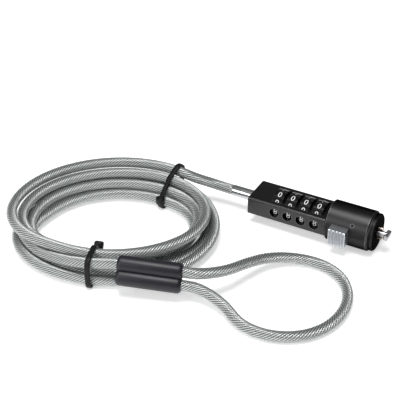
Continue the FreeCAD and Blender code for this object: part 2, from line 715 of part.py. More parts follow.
if __name__ == "__main__":
    save("dial_housing", dial_housing())
    save("bottom_cover", bottom_cover())
    save("cover_screws", cover_screws())
    save("spindle_tube", spindle_tube())
    save("detent_spring", detent_spring())
    save("locking_rod", locking_rod())
    for number, x in enumerate(DIAL_X, 1):
        save("dial_ring_%d" % number, dial_ring(x))
        save("code_disc_%d" % number, code_disc(x))
    save("swivel_bush", swivel_bush())
    save("swivel_washer", swivel_washer())
    save("swivel_ferrule", swivel_ferrule())
    save("barrel_sleeve", barrel_sleeve())
    save("barrel_ring", barrel_ring())
    save("nose_plate", nose_plate())
    save("guard_pins", guard_pins())
    save("t_bar", t_bar())
    save("cam_pin", cam_pin())
    save("slide_yoke", slide_yoke())
    save("tab_screw", tab_screw())
    save("thumb_tab", thumb_tab())
    save("return_spring", return_spring())
    save("code_button", code_button())
    inner = SLEEVE_LENGTH / 2 - SLEEVE_END_WALL + CRIMP_GAP
    coil = coil_solid(0).cut(sleeve_room())
    loop = rope_tube("cable_loop", [sleeve_point(inner, 1)] + LOOP + [sleeve_point(inner, -1)])
    tail = rope_tube("cable_tail", [sleeve_point(-inner, 1)] + TAIL)
    lead = rope_tube("cable_lead", LEAD)
    save("loop_crimp", crimp())
    save("loop_sleeve", loop_sleeve([loop, tail]))
    save("cable_loop", loop)
    save("cable_tail", tail.cut(coil))
    save("cable_lead", lead.cut(coil))
    save("cable_coil", coil)
    save("tie_back", tie(TIE_BACK_ANGLE, TIE_BACK_SWING, TIE_BACK_HEAD_Z).cut(lead))
    save("tie_front", tie(TIE_FRONT_ANGLE, TIE_FRONT_SWING, TIE_FRONT_HEAD_Z).cut(tail))
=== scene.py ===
# %% [markdown]
# # A laptop cable lock
# A combination lock the size of a thumb sits on the end of a clear-jacketed steel rope. The
# rope is wound in an oval coil, tied twice, and ends in a crimped loop. The hard parts come
# ready-made from the frame; this lesson gives them their finishes and makes the soft parts.

# %% Load the frame
import math

import bpy
from mathutils import Matrix, Vector
from mathutils.geometry import convex_hull_2d


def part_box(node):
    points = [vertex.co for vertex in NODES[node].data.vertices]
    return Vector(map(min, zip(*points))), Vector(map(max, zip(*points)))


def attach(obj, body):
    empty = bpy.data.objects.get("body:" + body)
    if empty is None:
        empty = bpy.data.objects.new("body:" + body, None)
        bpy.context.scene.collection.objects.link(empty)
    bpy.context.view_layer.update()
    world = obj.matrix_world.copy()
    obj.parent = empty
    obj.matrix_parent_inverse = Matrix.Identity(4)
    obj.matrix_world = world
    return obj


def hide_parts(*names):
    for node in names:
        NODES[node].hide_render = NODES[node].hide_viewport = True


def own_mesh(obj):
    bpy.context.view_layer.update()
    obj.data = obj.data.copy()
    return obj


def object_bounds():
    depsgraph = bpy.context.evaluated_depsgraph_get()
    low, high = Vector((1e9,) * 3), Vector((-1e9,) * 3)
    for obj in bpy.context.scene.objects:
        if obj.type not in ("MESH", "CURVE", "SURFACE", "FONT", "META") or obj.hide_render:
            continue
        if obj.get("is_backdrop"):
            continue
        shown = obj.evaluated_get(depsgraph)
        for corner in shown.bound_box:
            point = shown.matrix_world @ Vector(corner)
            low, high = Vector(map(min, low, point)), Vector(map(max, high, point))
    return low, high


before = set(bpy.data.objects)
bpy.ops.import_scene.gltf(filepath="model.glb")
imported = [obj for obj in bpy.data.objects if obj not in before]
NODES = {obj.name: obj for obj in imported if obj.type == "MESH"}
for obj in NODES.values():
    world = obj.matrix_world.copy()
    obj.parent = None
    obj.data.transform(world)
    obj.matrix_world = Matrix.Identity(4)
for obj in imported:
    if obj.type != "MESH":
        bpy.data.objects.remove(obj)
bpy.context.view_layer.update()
MM = 0.001

# %% [markdown]
# ## Floor, light and camera
# A lock like this is shown on a white sweep. The floor gives a little light of its own, so it
# stays white while the world around is dim, and the steel has something dark to mirror. A
# large soft light hangs overhead, and a second one in front draws the highlights on the black
# paint. A long lens keeps the coil's oval true.

# %% Floor and world
bpy.ops.object.select_all(action="DESELECT")
bpy.ops.mesh.primitive_plane_add(size=8, location=(0, 0, -0.00005))
floor = bpy.context.active_object
floor.name = "floor"
floor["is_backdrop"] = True


def new_material(name):
    """A material with one Principled shader, and its nodes, links and shader."""
    material = bpy.data.materials.new(name)
    material.use_nodes = True
    nodes = material.node_tree.nodes
    return material, nodes, material.node_tree.links, nodes["Principled BSDF"]


floor_paint, _, _, shader = new_material("white_sweep")
shader.inputs["Base Color"].default_value = (0.9, 0.9, 0.9, 1)
shader.inputs["Roughness"].default_value = 0.7
shader.inputs["Specular IOR Level"].default_value = 0.2
shader.inputs["Emission Color"].default_value = (1, 1, 1, 1)
shader.inputs["Emission Strength"].default_value = 0.45
floor.data.materials.append(floor_paint)

world = bpy.data.worlds.new("studio")
bpy.context.scene.world = world
world.use_nodes = True
world.node_tree.nodes["Background"].inputs["Color"].default_value = (1, 1, 1, 1)
world.node_tree.nodes["Background"].inputs["Strength"].default_value = 0.22
bpy.context.scene.view_settings.view_transform = "Standard"
print("floor", tuple(floor.dimensions))

# %% Camera
AZIMUTH = math.radians(28.6)
ELEVATION = math.radians(34)
CAMERA_DISTANCE = 0.535
AIM = Vector((-0.0646, -0.0009, 0))

camera_data = bpy.data.cameras.new("camera")
camera = bpy.data.objects.new("camera", camera_data)
bpy.context.scene.collection.objects.link(camera)
flat = math.cos(ELEVATION)
back = Vector((math.sin(AZIMUTH) * flat, -math.cos(AZIMUTH) * flat, math.sin(ELEVATION)))
camera.location = AIM + back * CAMERA_DISTANCE
camera.rotation_euler = back.to_track_quat("Z", "Y").to_euler()
camera_data.sensor_width = 36
camera_data.lens = 94.5
bpy.context.scene.camera = camera
print("camera at", tuple(round(v, 3) for v in camera.location))


# %% Lights
def soft_light(name, place, size, power):
    """A square area light that looks at the coil's middle."""
    data = bpy.data.lights.new(name, "AREA")
    data.size = size
    data.energy = power
    lamp = bpy.data.objects.new(name, data)
    bpy.context.scene.collection.objects.link(lamp)
    lamp.location = place
    lamp.rotation_euler = (Vector(place) - AIM).to_track_quat("Z", "Y").to_euler()


soft_light("overhead", (-0.06, -0.18, 0.95), 0.45, 7)
soft_light("front", (-0.35, -0.85, 0.5), 0.6, 3.5)

# %% [markdown]
# ## The rope's route
# The rope is one piece, so it is one curve: straight out of the ferrule, into the top of the
# coil, round it five and a half times, out to the sleeve, and round the end loop. Only the
# free stretches are listed points. The turns come from a loop: each turn keeps a
# place in the bundle and moves to the next place while it passes the right-hand side.

# %% Sizes of the rope and its coil
ROPE = 5.5 * MM
JACKET_WALL = 0.15 * MM
COIL_CENTRE = Vector((-85.6, -47.0, 0)) * MM
COIL_YAW = math.radians(28.6)
HALF_LONG = 43.0 * MM
HALF_SHORT = 35.5 * MM
TURNS = 5
JOIN_ANGLE = 50
LEAVE_ANGLE = 237
POINTS_PER_TURN = 24

# Places in the bundle, as (distance outward, height), for the back and the front of the coil.
AT_BACK = [(6.6, 15.5), (1.7, 12.5), (-1.6, 8.1), (-4.9, 3.8), (1.9, 3.8), (5.3, 8.1)]
AT_FRONT = [(-1.4, 13.4), (-4.7, 9.0), (-5.9, 3.8), (-0.4, 3.8), (5.1, 3.8), (2.2, 8.5)]
# The share of a turn in which each place changes from its back form to its front form.
EARLY = (0.28, 0.40)
LATE = (0.38, 0.52)
SHIFT = [LATE, LATE, LATE, EARLY, EARLY, EARLY]
# The share in which it changes to its next place at the back.
HOME = (0.66, 1.0)
# A turn is never quite even: it wanders in and out this much, this often.
WAVE = 0.25
WAVES_PER_TURN = 3
WAVE_DELAY = 1.7


def ease(value, start, end):
    """0 before start, 1 after end, and smooth between."""
    t = min(max((value - start) / (end - start), 0), 1)
    return t * t * (3 - 2 * t)


def mix(a, b, t):
    """A place between two places."""
    return (a[0] + (b[0] - a[0]) * t, a[1] + (b[1] - a[1]) * t)


def bundle_place(turn, share):
    """Where a turn lies in the bundle, at a share of its way round."""
    place = mix(AT_BACK[turn], AT_FRONT[turn], ease(share, *SHIFT[turn]))
    if turn < TURNS:
        place = mix(place, AT_BACK[turn + 1], ease(share, *HOME))
    wave = WAVE * math.sin(WAVES_PER_TURN * math.tau * share + WAVE_DELAY * turn)
    return ((place[0] + wave) * MM, place[1] * MM)


def coil_point(angle, out, height):
    """A point of the oval, turned and moved to the coil's place."""
    a = math.radians(angle)
    flat_point = Vector(((HALF_LONG + out) * math.cos(a), (HALF_SHORT + out) * math.sin(a), height))
    return Matrix.Rotation(COIL_YAW, 3, "Z") @ flat_point + COIL_CENTRE


def coil_turns():
    """All the turns' points, from the join at the back to where the tail leaves."""
    points = []
    last = TURNS + (LEAVE_ANGLE - JOIN_ANGLE) / 360
    for i in range(int(last * POINTS_PER_TURN) + 1):
        turn, step = divmod(i, POINTS_PER_TURN)
        share = step / POINTS_PER_TURN
        out, height = bundle_place(turn, share)
        points.append(coil_point(JOIN_ANGLE + 360 * share, out, height))
    return points


# %% The whole route
ferrule_low, ferrule_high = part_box("swivel_ferrule")
axis_y = (ferrule_low.y + ferrule_high.y) / 2
axis_z = (ferrule_low.z + ferrule_high.z) / 2
EXIT = Vector((ferrule_low.x, axis_y, axis_z))

SLEEVE_CENTRE = Vector((-48.0, -78.2, 11.4)) * MM
SLEEVE_LENGTH = 30 * MM
BORE_OFFSET = 3.0 * MM
ROPE_END_BACK = 2 * MM
SLEEVE_TURN = (
    Matrix.Rotation(math.radians(20.2), 3, "Z")
    @ Matrix.Rotation(math.radians(3.3), 3, "Y")
    @ Matrix.Rotation(math.radians(-30), 3, "X")
)


def in_sleeve(x, y, z):
    """A point given in the sleeve's own frame: x along it, z across its two bores."""
    return SLEEVE_TURN @ Vector((x, y, z)) + SLEEVE_CENTRE


def in_mm(rows):
    """Rows of millimetres as points."""
    return [Vector(row) * MM for row in rows]


LEAD = in_mm([(-52.5, 2.2, 9.9), (-59.5, 1.6, 10.7), (-66.5, -2.0, 13.4)])
TAIL = in_mm([(-77.5, -86.8, 12.2)])
LOOP = in_mm([
    (-27.6, -69.2, 12.8), (-19.2, -59.9, 11.4), (-15.5, -47.0, 8.6), (-10.4, -34.5, 5.4), (0.1, -26.1, 3.4),
    (13.0, -24.0, 2.8), (24.6, -29.0, 2.75), (32.0, -39.5, 2.75), (34.2, -52.5, 2.75), (31.5, -65.7, 2.75),
    (23.5, -76.0, 2.75), (11.5, -81.5, 2.75), (-2.0, -81.0, 3.1), (-13.1, -73.7, 4.9), (-26.4, -71.8, 7.4),
])
half = SLEEVE_LENGTH / 2
upper = [in_sleeve(x, 0, BORE_OFFSET) for x in (-half, 0, half)]
lower = [in_sleeve(x, 0, -BORE_OFFSET) for x in (half, 0, -half + ROPE_END_BACK)]
route = [EXIT] + LEAD + coil_turns() + TAIL + upper + LOOP + lower

route_data = bpy.data.curves.new("rope_route", "CURVE")
route_data.dimensions = "3D"
spline = route_data.splines.new("NURBS")
spline.points.add(len(route) - 1)
for point, place in zip(spline.points, route):
    point.co = (*place, 1)
spline.order_u = 3
spline.use_endpoint_u = True
spline.resolution_u = 8
route_object = bpy.data.objects.new("rope_route", route_data)
bpy.context.scene.collection.objects.link(route_object)
line_mesh = bpy.data.meshes.new_from_object(route_object)
LINE = [v.co.copy() for v in line_mesh.vertices]
bpy.data.objects.remove(route_object)


def path_length(points):
    """The length of a line of points."""
    return sum((b - a).length for a, b in zip(points, points[1:]))


ROPE_LENGTH = path_length(LINE)
print("rope length", round(ROPE_LENGTH, 4), "points", len(LINE))


# %% [markdown]
# ## The rope itself
# The steel inside is a bundle of strands laid in a helix, and the lay is what the eye reads
# as a rope. A tube with a lobed outline, turned steadily along the route, gives real grooves
# at a fraction of the faces that separate wires would need. A second, plain tube around it is
# the clear jacket.

# %% Sweep helpers
TINY = 1e-12


def resample(points, step):
    """Points an equal distance apart along a line."""
    total = path_length(points)
    count = max(2, int(round(total / step)))
    out = [points[0].copy()]
    goal = total / count
    walked = 0.0
    for a, b in zip(points, points[1:]):
        length = (b - a).length
        while length > 0 and walked + length >= goal * len(out) - TINY and len(out) < count:
            out.append(a.lerp(b, (goal * len(out) - walked) / length))
        walked += length
    out.append(points[-1].copy())
    return out


def carried_frames(points):
    """A side and an up direction at each point, carried along without twist."""
    frames = []
    side = None
    for i, point in enumerate(points):
        ahead = points[min(i + 1, len(points) - 1)] - points[max(i - 1, 0)]
        ahead.normalize()
        if side is None:
            side = ahead.cross(Vector((0, 0, 1))).normalized()
        side = (side - ahead * side.dot(ahead)).normalized()
        frames.append((side, ahead.cross(side)))
    return frames


def round_outline(radius, sides):
    """The outline of a round tube, for sweep."""
    around = [math.tau * i / sides for i in range(sides)]
    ring = [(radius * math.cos(a), radius * math.sin(a)) for a in around]
    return lambda _walked: ring


def sweep(name, points, outline):
    """A closed tube along points; outline(distance) gives one ring as (x, y) pairs."""
    frames = carried_frames(points)
    verts, faces = [], []
    walked = 0.0
    size = len(outline(0.0))
    for i, point in enumerate(points):
        if i:
            walked += (point - points[i - 1]).length
        side, up = frames[i]
        verts += [point + side * x + up * y for x, y in outline(walked)]
    for i in range(len(points) - 1):
        for j in range(size):
            k = (j + 1) % size
            faces.append((i * size + j, (i + 1) * size + j, (i + 1) * size + k, i * size + k))
    faces.append(tuple(range(size)))
    faces.append(tuple(reversed(range(len(verts) - size, len(verts)))))
    mesh = bpy.data.meshes.new(name)
    mesh.from_pydata(verts, [], faces)
    layer = mesh.uv_layers.new(name="along")
    for face in mesh.polygons:
        column = face.index % size
        for loop_index in face.loop_indices:
            ring, spot = divmod(mesh.loops[loop_index].vertex_index, size)
            if spot == 0 and column == size - 1:
                spot = size
            layer.data[loop_index].uv = (ring / (len(points) - 1), spot / size)
    mesh.polygons.foreach_set("use_smooth", [True] * len(mesh.polygons))
    piece = bpy.data.objects.new(name, mesh)
    bpy.context.scene.collection.objects.link(piece)
    return piece


# %% Steel strands
STRANDS = 12
LAY = 20 * MM
GROOVE = 0.5 * MM
GROOVE_SHARPNESS = 1.5
SIDES_PER_STRAND = 5
CORE_GAP = 0.05 * MM
STRAND_STEP = 1.7 * MM
CREST = ROPE / 2 - JACKET_WALL - CORE_GAP


def strand_ring(walked):
    """One ring of the steel core: round lobes with grooves between them."""
    ring = []
    twist = -math.tau * walked / LAY
    for j in range(STRANDS * SIDES_PER_STRAND):
        a = math.tau * j / (STRANDS * SIDES_PER_STRAND)
        lobe = abs(math.sin(STRANDS * a / 2))
        radius = CREST - GROOVE * (1 - lobe) ** GROOVE_SHARPNESS
        ring.append((radius * math.cos(a + twist), radius * math.sin(a + twist)))
    return ring


strands = sweep("steel_strands", resample(LINE, STRAND_STEP), strand_ring)
print("strand faces", len(strands.data.polygons))

# %% Clear jacket
JACKET_SIDES = 18
JACKET_STEP = 2.2 * MM
jacket = sweep("rope_jacket", resample(LINE, JACKET_STEP), round_outline(ROPE / 2, JACKET_SIDES))
print("jacket faces", len(jacket.data.polygons))


# %% [markdown]
# ## Finishes for the rope
# Drawn steel is bright and slightly rough. Fine stripes against the lay stand for the single
# wires: a bump, and painted shade between the wires. The grooves get painted shade too. The
# jacket is thin clear PVC: mostly a gloss.

# %% Steel wire
def steel_wire_finish():
    """Bright drawn wire, with painted shade in the grooves and between the wires across the lay."""
    material, nodes, links, shader = new_material("steel_wire")
    uv = nodes.new("ShaderNodeUVMap")
    uv.uv_map = "along"
    parts = nodes.new("ShaderNodeSeparateXYZ")
    strand_count = nodes.new("ShaderNodeMath")
    strand_count.operation = "MULTIPLY"
    strand_count.inputs[1].default_value = STRANDS
    crest = nodes.new("ShaderNodeMath")
    crest.operation = "PINGPONG"
    crest.inputs[1].default_value = 0.5
    # Painted shade: the colour darkens from each strand's crest to the groove beside it.
    shade = nodes.new("ShaderNodeValToRGB")
    shade.color_ramp.elements[0].position = 0.04
    shade.color_ramp.elements[0].color = (0.05, 0.06, 0.06, 1)
    shade.color_ramp.elements[1].position = 0.4
    shade.color_ramp.elements[1].color = (0.78, 0.80, 0.79, 1)
    mapping = nodes.new("ShaderNodeMapping")
    mapping.inputs["Scale"].default_value = (ROPE_LENGTH / MM, 60, 1)
    wires = nodes.new("ShaderNodeTexWave")
    wires.bands_direction = "DIAGONAL"
    wires.inputs["Scale"].default_value = 0.55
    wires.inputs["Distortion"].default_value = 0.6
    # Painted shade: the stripes darken the colour between the single wires.
    wire_gap_shade = nodes.new("ShaderNodeMix")
    wire_gap_shade.data_type = "RGBA"
    wire_gap_shade.blend_type = "MULTIPLY"
    wire_gap_shade.inputs["Factor"].default_value = 0.35
    bump = nodes.new("ShaderNodeBump")
    bump.inputs["Strength"].default_value = 0.35
    bump.inputs["Distance"].default_value = 0.00008
    links.new(uv.outputs["UV"], parts.inputs["Vector"])
    links.new(parts.outputs["Y"], strand_count.inputs[0])
    links.new(strand_count.outputs["Value"], crest.inputs[0])
    links.new(crest.outputs["Value"], shade.inputs["Fac"])
    links.new(uv.outputs["UV"], mapping.inputs["Vector"])
    links.new(mapping.outputs["Vector"], wires.inputs["Vector"])
    links.new(shade.outputs["Color"], wire_gap_shade.inputs["A"])
    links.new(wires.outputs["Color"], wire_gap_shade.inputs["B"])
    links.new(wire_gap_shade.outputs["Result"], shader.inputs["Base Color"])
    links.new(wires.outputs["Fac"], bump.inputs["Height"])
    links.new(bump.outputs["Normal"], shader.inputs["Normal"])
    shader.inputs["Metallic"].default_value = 1.0
    shader.inputs["Roughness"].default_value = 0.34
    return material


strands.data.materials.append(steel_wire_finish())
print("steel wire finish made")


# %% Clear PVC
def clear_pvc_finish():
    """A thin clear skin that is mostly gloss."""
    material, nodes, links, shader = new_material("clear_pvc")
    coords = nodes.new("ShaderNodeTexCoord")
    noise = nodes.new("ShaderNodeTexNoise")
    noise.inputs["Scale"].default_value = 220
    spread = nodes.new("ShaderNodeMapRange")
    spread.inputs["To Min"].default_value = 0.08
    spread.inputs["To Max"].default_value = 0.2
    links.new(coords.outputs["Object"], noise.inputs["Vector"])
    links.new(noise.outputs["Fac"], spread.inputs["Value"])
    links.new(spread.outputs["Result"], shader.inputs["Roughness"])
    shader.inputs["Base Color"].default_value = (0.50, 0.55, 0.53, 1)
    shader.inputs["Alpha"].default_value = 0.12
    shader.inputs["IOR"].default_value = 1.52
    return material


jacket.data.materials.append(clear_pvc_finish())
print("jacket finish made")

# %% [markdown]
# ## The black finishes
# Black paint and black plastic differ in grain and gloss more than in colour, so one recipe
# serves for all: a noise that varies roughness, tint and bump together. Here it makes the
# dials' enamel, the sleeve's soft PVC and the ties' nylon.


# %% A black finish with its own grain
def black_finish(name, color, low, high, grain, stretch=(1, 1, 1), bump_height=0.00002, gloss=0.3):
    """Black paint or plastic: grain sets the size of its texture, low and high its roughness."""
    material, nodes, links, shader = new_material(name)
    coords = nodes.new("ShaderNodeTexCoord")
    mapping = nodes.new("ShaderNodeMapping")
    mapping.inputs["Scale"].default_value = stretch
    noise = nodes.new("ShaderNodeTexNoise")
    noise.inputs["Scale"].default_value = grain
    noise.inputs["Detail"].default_value = 4
    spread = nodes.new("ShaderNodeMapRange")
    spread.inputs["To Min"].default_value = low
    spread.inputs["To Max"].default_value = high
    tint = nodes.new("ShaderNodeValToRGB")
    tint.color_ramp.elements[0].color = (*[c * 0.7 for c in color], 1)
    tint.color_ramp.elements[1].color = (*[c * 1.4 for c in color], 1)
    bump = nodes.new("ShaderNodeBump")
    bump.inputs["Strength"].default_value = 0.5
    bump.inputs["Distance"].default_value = bump_height
    links.new(coords.outputs["Object"], mapping.inputs["Vector"])
    links.new(mapping.outputs["Vector"], noise.inputs["Vector"])
    links.new(noise.outputs["Fac"], spread.inputs["Value"])
    links.new(noise.outputs["Fac"], tint.inputs["Fac"])
    links.new(noise.outputs["Fac"], bump.inputs["Height"])
    links.new(spread.outputs["Result"], shader.inputs["Roughness"])
    links.new(tint.outputs["Color"], shader.inputs["Base Color"])
    links.new(bump.outputs["Normal"], shader.inputs["Normal"])
    shader.inputs["Specular IOR Level"].default_value = gloss
    return material


dial_gloss = black_finish("dial_gloss", (0.005, 0.005, 0.006), 0.2, 0.32, 500, gloss=0.15)
sleeve_gloss = black_finish(
    "sleeve_gloss", (0.010, 0.009, 0.014), 0.34, 0.46, 300, bump_height=0.00003, gloss=0.42)
tie_nylon = black_finish("tie_nylon", (0.005, 0.005, 0.006), 0.35, 0.5, 800, bump_height=0.00004, gloss=0.2)
print("black finishes", [m.name for m in (dial_gloss, sleeve_gloss, tie_nylon)])

# %% [markdown]
# ## Painted metal
# The housing, barrel and nose are zinc castings under a thin dark paint with some metal in
# it. It mirrors a little of its surroundings at every angle, so it is a dark metal here, not
# a plastic, and the housing has a clear lacquer too. The barrel was brushed before it was
# painted, so its gloss is streaked. The edges get a painted highlight: the Bevel node tells
# where the surface turns, and the paint is lighter there.

# %% Painted casting finish
# The width of the painted highlight along the edges.
EDGE_HIGHLIGHT_RADIUS = 0.5 * MM


def painted_casting(name, color, edge_highlight_color, low, high, grain, stretch=(1, 1, 1), lacquer=0.0):
    """Dark metallic paint, with a painted highlight along its edges."""
    material = black_finish(name, color, low, high, grain, stretch)
    nodes = material.node_tree.nodes
    links = material.node_tree.links
    shader = nodes["Principled BSDF"]
    tint = next(n for n in nodes if n.type == "VALTORGB")
    # Painted highlight: the paint turns lighter along the edges, where the Bevel normal parts from the true
    # normal.
    surface = nodes.new("ShaderNodeNewGeometry")
    rounded = nodes.new("ShaderNodeBevel")
    rounded.inputs["Radius"].default_value = EDGE_HIGHLIGHT_RADIUS
    likeness = nodes.new("ShaderNodeVectorMath")
    likeness.operation = "DOT_PRODUCT"
    edge_highlight_mask = nodes.new("ShaderNodeMapRange")
    edge_highlight_mask.inputs["From Min"].default_value = 0.995
    edge_highlight_mask.inputs["From Max"].default_value = 0.93
    edge_highlighted = nodes.new("ShaderNodeMix")
    edge_highlighted.data_type = "RGBA"
    edge_highlighted.inputs["B"].default_value = (*edge_highlight_color, 1)
    links.new(surface.outputs["True Normal"], likeness.inputs[0])
    links.new(rounded.outputs["Normal"], likeness.inputs[1])
    links.new(likeness.outputs["Value"], edge_highlight_mask.inputs["Value"])
    links.new(edge_highlight_mask.outputs["Result"], edge_highlighted.inputs["Factor"])
    links.new(tint.outputs["Color"], edge_highlighted.inputs["A"])
    links.new(edge_highlighted.outputs["Result"], shader.inputs["Base Color"])
    shader.inputs["Metallic"].default_value = 1.0
    shader.inputs["Specular Tint"].default_value = (0.25, 0.25, 0.25, 1)
    shader.inputs["Coat Weight"].default_value = lacquer
    shader.inputs["Coat Roughness"].default_value = 0.22
    return material


# The second colour of each paint is its painted edge highlight.
enamel = painted_casting(
    "black_enamel", (0.022, 0.022, 0.023), (0.14, 0.14, 0.14), 0.3, 0.42, 900, lacquer=0.7)
barrel_paint = painted_casting(
    "barrel_paint", (0.035, 0.035, 0.035), (0.2, 0.2, 0.2), 0.3, 0.45, 260, stretch=(0.25, 2, 2))
nose_paint = painted_casting("nose_paint", (0.014, 0.014, 0.015), (0.08, 0.08, 0.08), 0.35, 0.5, 700)
print("paints", [m.name for m in (enamel, barrel_paint, nose_paint)])

# %% [markdown]
# ## The bright finishes
# Turned steel and brass carry fine rings about the lock's axis, the ferrule is plated, and
# the tab is a satin silver paint.

# %% A metal with its own grain
def metal_finish(name, color, low, high, grain, metallic=1.0, stretch=(1, 1, 1)):
    """Bare or painted metal; the grain varies its colour a little and its gloss more."""
    material = black_finish(name, color, low, high, grain, stretch)
    nodes = material.node_tree.nodes
    ramp = next(n for n in nodes if n.type == "VALTORGB")
    ramp.color_ramp.elements[0].color = (*[c * 0.85 for c in color], 1)
    ramp.color_ramp.elements[1].color = (*[min(c * 1.1, 1) for c in color], 1)
    nodes["Principled BSDF"].inputs["Metallic"].default_value = metallic
    nodes["Principled BSDF"].inputs["Specular IOR Level"].default_value = 0.5
    return material


turned_steel = metal_finish("turned_steel", (0.42, 0.42, 0.43), 0.22, 0.36, 400, stretch=(8, 1, 1))
turned_brass = metal_finish("turned_brass", (0.72, 0.55, 0.30), 0.22, 0.38, 400, stretch=(8, 1, 1))
ferrule_chrome = metal_finish("ferrule_chrome", (0.55, 0.56, 0.57), 0.1, 0.18, 300)
tab_silver = metal_finish("tab_silver", (0.55, 0.57, 0.60), 0.3, 0.42, 900)
pin_nickel = metal_finish("pin_nickel", (0.62, 0.53, 0.47), 0.18, 0.3, 400)
pressed_alloy = metal_finish("pressed_alloy", (0.72, 0.72, 0.73), 0.3, 0.45, 500)
print("metals", turned_steel.name, turned_brass.name, ferrule_chrome.name, tab_silver.name)

# %% Each node's finish
FINISH_OF = {
    "dial_housing": enamel, "bottom_cover": enamel, "barrel_sleeve": barrel_paint, "nose_plate": nose_paint,
    "thumb_tab": tab_silver, "code_button": nose_paint, "guard_pins": pin_nickel,
    "swivel_ferrule": ferrule_chrome, "loop_crimp": pressed_alloy, "swivel_bush": turned_brass,
    "spindle_tube": turned_brass, "slide_yoke": turned_brass,
}
for name, node in NODES.items():
    finish = FINISH_OF.get(name, turned_steel)
    if name.startswith("dial_ring"):
        finish = dial_gloss
    if name.startswith("code_disc"):
        finish = turned_brass
    node.data.materials.clear()
    node.data.materials.append(finish)
print("finished CAD nodes", len(NODES))

# %% [markdown]
# ## Numerals
# Each dial carries the ten digits, one on each land between two grooves, pad-printed in
# white. Each digit is text made into a mesh and wrapped round the ring.

# %% Numerals on the dials
DIGIT_SIZE = 4.2 * MM
PRINT = 0.06 * MM
DIALS = 4
DIGITS = 10
# The digit on land k is k less this, so that 0 faces up at rest.
FIRST_DIGIT = 2
white_ink = metal_finish("white_ink", (0.80, 0.80, 0.78), 0.45, 0.6, 600, metallic=0.0)


def joined(pieces):
    """Join pieces into the first of them."""
    bpy.ops.object.select_all(action="DESELECT")
    for piece in pieces:
        piece.select_set(True)
    bpy.context.view_layer.objects.active = pieces[0]
    bpy.ops.object.join()
    return pieces[0]


def wrapped_digit(text, centre, radius, angle):
    """One digit's mesh, wrapped on a ring about the X direction, at an angle above -Y."""
    bpy.ops.object.select_all(action="DESELECT")
    bpy.ops.object.text_add()
    letter = bpy.context.active_object
    letter.data.body = text
    letter.data.size = DIGIT_SIZE
    letter.data.align_x = "CENTER"
    letter.data.align_y = "CENTER"
    letter.data.extrude = PRINT
    letter.data.resolution_u = 5
    bpy.ops.object.convert(target="MESH")
    xs = [v.co.x for v in letter.data.vertices]
    ys = [v.co.y for v in letter.data.vertices]
    middle_x = (min(xs) + max(xs)) / 2
    middle_y = (min(ys) + max(ys)) / 2
    for v in letter.data.vertices:
        turn = angle + (v.co.y - middle_y) / radius
        reach = radius + PRINT / 2 + v.co.z
        v.co = centre + Vector((v.co.x - middle_x, -reach * math.cos(turn), reach * math.sin(turn)))
    return letter


for number in range(1, DIALS + 1):
    low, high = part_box("dial_ring_%d" % number)
    centre = (low + high) / 2
    radius = (high.z - low.z) / 2
    letters = []
    for k in range(DIGITS):
        angle = math.tau * k / DIGITS
        letters.append(wrapped_digit(str((k - FIRST_DIGIT) % DIGITS), centre, radius, angle))
    digits = joined(letters)
    digits.name = "dial_digits_%d" % number
    digits.data.materials.clear()
    digits.data.materials.append(white_ink)
    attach(digits, "dial_%d" % number)
print("digits made for", DIALS, "dials")

# %% [markdown]
# ## The sleeve at the loop
# The crimp at the foot of the loop wears a moulded cover: two barrels side by side, one for
# each pass of the rope, with a groove where they meet and rounded ends. One cylinder gets its
# ends bevelled, a copy is joined to it, and both bores are cut, as they would be in a drawing.

# %% Modelling helpers
SMOOTH_ANGLE = math.radians(50)


def only(piece):
    """Select one piece alone and make it active."""
    bpy.ops.object.select_all(action="DESELECT")
    piece.select_set(True)
    bpy.context.view_layer.objects.active = piece


def place_in_mesh(piece):
    """Put the piece's place, turn and size into its mesh."""
    only(piece)
    bpy.ops.object.transform_apply(location=True, rotation=True, scale=True)


def apply_modifiers(piece):
    """Apply all of a piece's modifiers, in order."""
    only(piece)
    for modifier in list(piece.modifiers):
        bpy.ops.object.modifier_apply(modifier=modifier.name)


def pick_edges(piece, wanted):
    """Select the edges whose two end points fit the rule, and stay in edit mode."""
    only(piece)
    bpy.ops.object.mode_set(mode="EDIT")
    bpy.ops.mesh.select_mode(type="EDGE")
    bpy.ops.mesh.select_all(action="DESELECT")
    bpy.ops.object.mode_set(mode="OBJECT")
    verts = piece.data.vertices
    for edge in piece.data.edges:
        edge.select = wanted(verts[edge.vertices[0]].co, verts[edge.vertices[1]].co)
    bpy.ops.object.mode_set(mode="EDIT")


def rod_along_x(name, radius, length, x, z, sides=48):
    """A cylinder along X with its middle at x and z."""
    bpy.ops.object.select_all(action="DESELECT")
    bpy.ops.mesh.primitive_cylinder_add(
        vertices=sides, radius=radius, depth=length, location=(x, 0, z), rotation=(0, math.pi / 2, 0))
    piece = bpy.context.active_object
    piece.name = name
    place_in_mesh(piece)
    return piece


# %% Sleeve cover, first barrel
BARREL = 3.9 * MM
BARREL_SIDES = 64
END_ROUND = 2.0 * MM
NEARLY = 1e-6


def at_an_end(a, b):
    """Both points of an edge lie on the same end of the sleeve."""
    return a.x * b.x > 0 and min(abs(a.x), abs(b.x)) > SLEEVE_LENGTH / 2 - NEARLY


sleeve = rod_along_x("sleeve_cover", BARREL, SLEEVE_LENGTH, 0, BORE_OFFSET, BARREL_SIDES)
pick_edges(sleeve, at_an_end)
bpy.ops.mesh.bevel(offset=END_ROUND, segments=5, profile=0.5, affect="EDGES")
bpy.ops.object.mode_set(mode="OBJECT")
print("first barrel", len(sleeve.data.polygons))


# %% Sleeve cover, second barrel and bores
def combine(piece, other, operation):
    """Join or cut with another piece, and remove that piece."""
    modifier = piece.modifiers.new("shape", "BOOLEAN")
    modifier.operation = operation
    modifier.object = other
    modifier.solver = "EXACT"
    apply_modifiers(piece)
    bpy.data.objects.remove(other)


